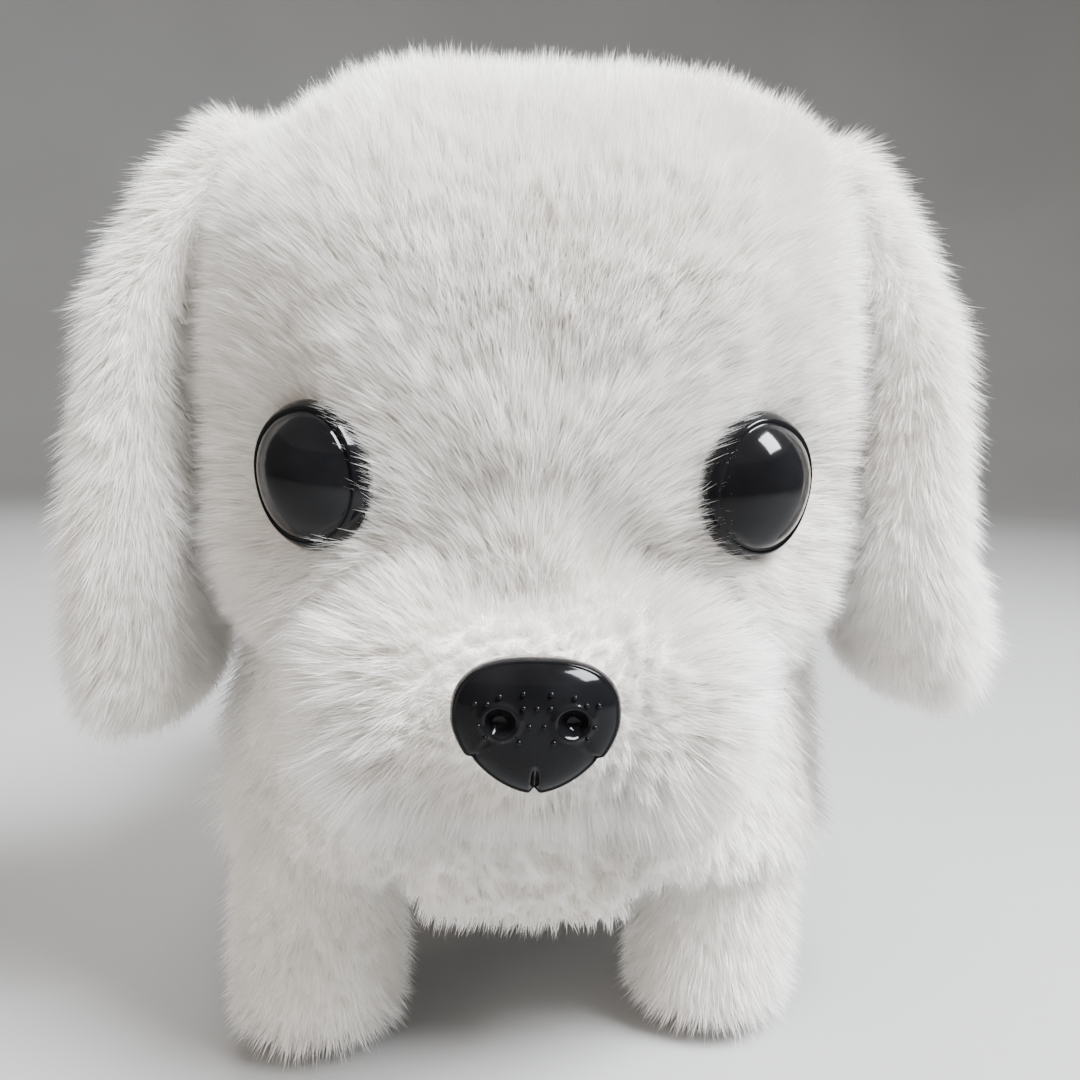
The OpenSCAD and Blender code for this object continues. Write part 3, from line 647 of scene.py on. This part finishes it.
# ---------------------------------------------------------------- legs
REST_LEAN = 4.6  # degrees that each leg leans at rest, diagonal pairs together
leg_pieces = []
for y_word, front in (("front", 1), ("rear", -1)):
    for x_word, s in (("left", 1), ("right", -1)):
        name = f"{y_word}_{x_word}_leg"
        hip = np.array(joint(f"{y_word}_{x_word}_hip")["pos_m"]) / MM
        low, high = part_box(name + "_sleeve")
        lo, hi = mm(low), mm(high)
        r = (hi[0] - lo[0]) / 2
        lean = s * front * math.radians(REST_LEAN)

        def at(z, hip=hip, lean=lean):
            return hip[1] + (hip[2] - z) * math.tan(lean)

        form = [[(hip[0], at(54), 54, r - 2.5), (hip[0], at(30), 30, r - 1.2)],
                [(hip[0], at(30), 30, r - 1.2), (hip[0], at(14), 14, r - 0.8)],
                [(hip[0], at(14), 14, r - 0.8), (hip[0], at(8), 8.5, r - 1.0)]]
        leg = soft_form(name + "_skin", form, 1.2, 6)
        p = points_of(leg)
        # the sole is flat on the floor
        p[:, 2] = np.where(p[:, 2] < 5, 0.5 + (p[:, 2] - p[:, 2].min()) * (4.5 / (5 - p[:, 2].min())), p[:, 2])
        p[:, 2] = np.maximum(p[:, 2], 0.8)
        set_points(leg, p)
        leg.data.materials.append(BACKING)

        def leg_comb(p, n, hip=hip):
            foot = smoothstep(-p[:, 2], -12, -2)[:, None]
            out = p - np.array([hip[0], at(0), 8.0])
            return np.array([0, 0, -0.55]) * (1 - foot) + unit(out) * 0.3 * foot

        pile = grow(name + "_pile", leg, 26000, 4.6, leg_comb, 41 + 3 * s + front, width=0.16, steps=2, tuft=2.2,
                    pull=0.3, floor=0.15, keep=lambda p: p[:, 2] < 46, stray=0.1, sag=0.1,
                    scale=lambda p, n: 1 - 0.5 * smoothstep(-n[:, 2], 0.5, 0.95),
                    tousle=lambda p, n: np.full(len(p), 0.7))
        for piece in (leg, pile):
            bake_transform(piece)
        leg_pieces.append((name, leg))

# ---------------------------------------------------------------- tail
tl, th = (mm(v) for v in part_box("tail_cover"))
pivot = np.array(joint("tail_wag")["pos_m"]) / MM
root = np.array([0, pivot[1] + 5, 80.0])
tip = np.array([(tl[0] + th[0]) / 2 - 1.5, th[1] - 6.5, th[2] - 6.5])
mid = root * 0.5 + tip * 0.5 + np.array([0, 1.5, -1.5])
tail = soft_form("tail_skin", [[(*root, 5.6), (*mid, 5.2)], [(*mid, 5.2), (*tip, 4.4)]], 1.1, 6)
tail.data.materials.append(BACKING)
way = unit(tip - root)
tail_pile = grow("tail_pile", tail, 22000, 7.6, lambda p, n: np.tile(way * 0.8, (len(p), 1)), 61, width=0.2,
                 steps=2, tuft=2.6, pull=0.36, sag=0.02,
                 scale=lambda p, n: 0.85 + 0.15 * smoothstep(p[:, 2], 84, 96))
for piece in (tail, tail_pile):
    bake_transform(piece)


# ---------------------------------------------------------------- eyes and nose
def polar(name, outline, profile, rings, turns):
    """A domed cap. outline(angle) is the rim's radius and profile(share, angle) the height at that share of the way
    to the rim, in millimetres. It faces +Z, and closes with a flat back."""
    bm = bmesh.new()
    top = bm.verts.new((0, 0, profile(0.0, 0.0)))
    rows = []
    for i in range(1, rings + 1):
        t = i / rings
        row = []
        for k in range(turns):
            a = 2 * math.pi * k / turns
            r = outline(a) * t
            row.append(bm.verts.new((r * math.cos(a), r * math.sin(a), profile(t, a))))
        rows.append(row)
    back = [bm.verts.new((v.co.x * 0.97, v.co.y * 0.97, -1.5)) for v in rows[-1]]
    rows.append(back)
    for k in range(turns):
        bm.faces.new((top, rows[0][k], rows[0][(k + 1) % turns]))
    for r1, r2 in zip(rows, rows[1:]):
        for k in range(turns):
            bm.faces.new((r1[k], r2[k], r2[(k + 1) % turns], r1[(k + 1) % turns]))
    bm.faces.new(list(reversed(back)))
    bmesh.ops.recalc_face_normals(bm, faces=bm.faces)
    mesh = bpy.data.meshes.new(name)
    bm.to_mesh(mesh)
    bm.free()
    ob = link(bpy.data.objects.new(name, mesh))
    for f in ob.data.polygons:
        f.use_smooth = len(f.vertices) < 10
    return ob


def superellipse(half_w, half_h, power):
    def outline(a):
        c, s = abs(math.cos(a)) / half_w, abs(math.sin(a)) / half_h
        return (c ** power + s ** power) ** (-1 / power)
    return outline


def eye_profile(t, a):
    """A domed centre, a fine groove, then a bevelled rim."""
    if t < 0.83:
        return 8.5 * math.sqrt(1 - t * t) - 2.6
    if t < 0.86:
        return 2.14 - 0.4 * math.sin((t - 0.83) / 0.03 * math.pi)
    return 2.14 - 1.9 * ((t - 0.86) / 0.14) ** 1.8


eye_h = size("left_eye").z / MM + 0.2
eye_w = 17.0
for s, side in ((1, "left"), (-1, "right")):
    ob = polar(side + "_eye_dome", superellipse(eye_w / 2, eye_h / 2, 2.15), eye_profile, 40, 96)
    place = (Matrix.Translation(EYES[s]) @ Matrix.Rotation(math.radians(EYE_YAW) * s, 4, "Z")
             @ Matrix.Rotation(math.pi / 2, 4, "X") @ Matrix.Rotation(-math.radians(EYE_ROLL) * s, 4, "Z"))
    ob.data.transform(place @ Matrix.Scale(MM, 4))
    ob.data.materials.append(EYE_BLACK)
    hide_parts(side + "_eye")
    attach(ob, "chassis")

nose_w, nose_h = size("nose").x / MM, size("nose").z / MM
NOSTRIL_X, NOSTRIL_Y = 4.2, 0.1


def nose_outline(a):
    """A rounded triangle, wide side up, nicked at each side above the lip and at the foot of the philtrum."""
    c, s = math.cos(a), math.sin(a)
    wide, high, deep = nose_w / 2 + 0.4, nose_h * 0.46, nose_h * 0.63
    up = high if s > 0 else deep
    power = 2.6 if s > 0 else 1.7
    r = ((abs(c) / wide) ** power + (abs(s) / up) ** power) ** (-1 / power)
    from_foot = abs(math.remainder(a + math.pi / 2, 2 * math.pi))
    r *= 1 - 0.05 * max(0.0, min(1.0, (1.05 - from_foot) / 0.1))
    nick = 0.035 * math.exp(-((from_foot - 1.01) / 0.04) ** 2)
    return r * (1 - nick - 0.045 * math.exp(-(from_foot / 0.045) ** 2))


def nose_profile(t, a):
    """A dome with a fine rolled edge, two nostrils, and the philtrum's groove down to the foot."""
    r = nose_outline(a) * t
    x, y = r * math.cos(a), r * math.sin(a)
    z = 0.6 + 3.6 * (1 - t ** 2.6) ** 0.62 if t < 1 else 0.6
    if t > 0.93:
        z += 0.35 * math.sin((t - 0.93) / 0.07 * math.pi)
    for s in (-1, 1):
        # a nostril pit with a raised lip, and the groove that trails down and outwards from it
        d = math.hypot((x - s * NOSTRIL_X) / 1.4, (y - NOSTRIL_Y) / 1.25)
        z -= 1.25 * math.exp(-d ** 3)
        z += 0.32 * math.exp(-((d - 1.5) / 0.34) ** 2)
        u = max(0.0, min(1.0, (-0.6 - y) / 4.2))
        track = s * (4.5 + 2.6 * u)
        if -4.8 < y < -0.6:
            z -= 0.45 * math.exp(-((x - track) / 0.6) ** 2) * math.sin(math.pi * u)
    if y < -5.0:
        z -= 0.95 * math.exp(-(x / 0.42) ** 2) * min(1.0, (-5.0 - y) / 1.8)
    return z


nose_ob = polar("nose_cap", nose_outline, nose_profile, 90, 260)
# raised dots over the bridge of the nose and round the nostrils, the same on both sides
half_dots = [(1.6, 3.5), (1.55, 1.9), (4.3, 3.1), (5.7, 2.2), (7.1, 2.1), (0.85, -0.2), (6.7, -0.4), (2.0, -2.1),
             (5.9, -1.8)]
dots = [(0, 1.9)] + [(side * x, y) for side in (-1, 1) for x, y in half_dots]
bm = bmesh.new()
bm.from_mesh(nose_ob.data)
for x, y in dots:
    a = math.atan2(y, x)
    t = math.hypot(x, y) / nose_outline(a)
    bmesh.ops.create_icosphere(bm, subdivisions=2, radius=0.34,
                               matrix=Matrix.Translation((x, y, nose_profile(t, a) + 0.06)))
bm.to_mesh(nose_ob.data)
bm.free()
for f in nose_ob.data.polygons:
    f.use_smooth = len(f.vertices) < 10
place = Matrix.Translation(Vector((0, NOSE_LOW.y / MM + 4.2, nose[2])) * MM) @ Matrix.Rotation(math.pi / 2, 4, "X")
nose_ob.data.transform(place @ Matrix.Scale(MM, 4))
nose_ob.data.materials.append(NOSE_BLACK)
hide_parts("nose")
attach(nose_ob, "chassis")

# ---------------------------------------------------------------- what stands for what, and what moves with what
for piece in (head, head_pile, body, body_pile):
    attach(piece, "chassis")
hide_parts("head_cover")
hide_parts("body_cover")
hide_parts("tail_cover")
for s, side in ((1, "left"), (-1, "right")):
    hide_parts(side + "_ear")
for name, leg in leg_pieces:
    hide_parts(name + "_sleeve")

# ---------------------------------------------------------------- floor, light and camera
m, nt, p, out = new_material("floor_pale")
tint = ramp(nt, noise(nt, 3.0).outputs["Fac"], [(0.3, (0.28, 0.28, 0.28)), (0.7, (0.315, 0.315, 0.315))])
nt.links.new(tint.outputs[0], p.inputs["Base Color"])
p.inputs["Roughness"].default_value = 0.6
bm = bmesh.new()
rows = []
# a flat disc that curves up into a low wall all round, in metres
FLOOR_R, CURVE_R, WALL_TOP, TURNS = 1.2, 0.7, 1.3, 64
profile = [(FLOOR_R, 0.0)] + [(FLOOR_R + CURVE_R * math.sin(a), CURVE_R - CURVE_R * math.cos(a))
                              for a in (k * math.pi / 20 for k in range(1, 11))] + [(FLOOR_R + CURVE_R, WALL_TOP)]
for r, z in profile:
    angles = [2 * math.pi * k / TURNS for k in range(TURNS)]
    rows.append([bm.verts.new((r * math.cos(a), r * math.sin(a), z)) for a in angles])
middle = bm.verts.new((0, 0, 0))
for k in range(TURNS):
    bm.faces.new((middle, rows[0][k], rows[0][(k + 1) % TURNS]))
    for r1, r2 in zip(rows, rows[1:]):
        bm.faces.new((r1[k], r2[k], r2[(k + 1) % TURNS], r1[(k + 1) % TURNS]))
mesh = bpy.data.meshes.new("floor")
bm.to_mesh(mesh)
bm.free()
for f in mesh.polygons:
    f.use_smooth = True
floor = link(bpy.data.objects.new("floor", mesh))
floor.data.materials.append(m)

world = bpy.data.worlds.new("studio")
scene.world = world
world.use_nodes = True
world.node_tree.nodes["Background"].inputs["Color"].default_value = (1.0, 0.92, 0.845, 1)
world.node_tree.nodes["Background"].inputs["Strength"].default_value = 0.55


def area(name, at, towards, size, power, colour, glints=True):
    data = bpy.data.lights.new(name, "AREA")
    data.shape = "RECTANGLE"
    data.size, data.size_y = size
    data.energy = power
    data.color = colour
    ob = link(bpy.data.objects.new(name, data))
    ob.location = at
    ob.rotation_euler = (Vector(towards) - Vector(at)).to_track_quat("-Z", "Y").to_euler()
    ob.visible_camera = False
    ob.visible_glossy = glints
    return ob


area("window", (0.38, -0.27, 0.66), (0, -0.02, 0.08), (0.32, 0.32), 39, (0.94, 0.97, 1.0))
area("fill", (-0.6, -0.5, 0.38), (0, 0, 0.07), (0.55, 0.45), 4.0, (1.0, 0.90, 0.80), glints=False)
area("back", (-0.15, 0.6, 0.55), (0, 0, 0.08), (0.5, 0.4), 6.5, (1.0, 1.0, 1.0))

cam = bpy.data.cameras.new("camera")
cam.lens = 35.3
cam.sensor_width = 36
cam.clip_start = 0.005
# where the camera stands, in metres, and the degrees it is turned: to the side, down and about its line of sight
CAMERA_AT = (-0.0052, -0.2102, 0.0953)
PAN, TILT, ROLL = -2.44, 6.39, 1.51
camera = link(bpy.data.objects.new("camera", cam))
camera.matrix_world = (Matrix.Translation(CAMERA_AT) @ Matrix.Rotation(math.radians(PAN), 4, "Z")
                       @ Matrix.Rotation(math.radians(90 - TILT), 4, "X")
                       @ Matrix.Rotation(math.radians(ROLL), 4, "Z"))
scene.camera = camera
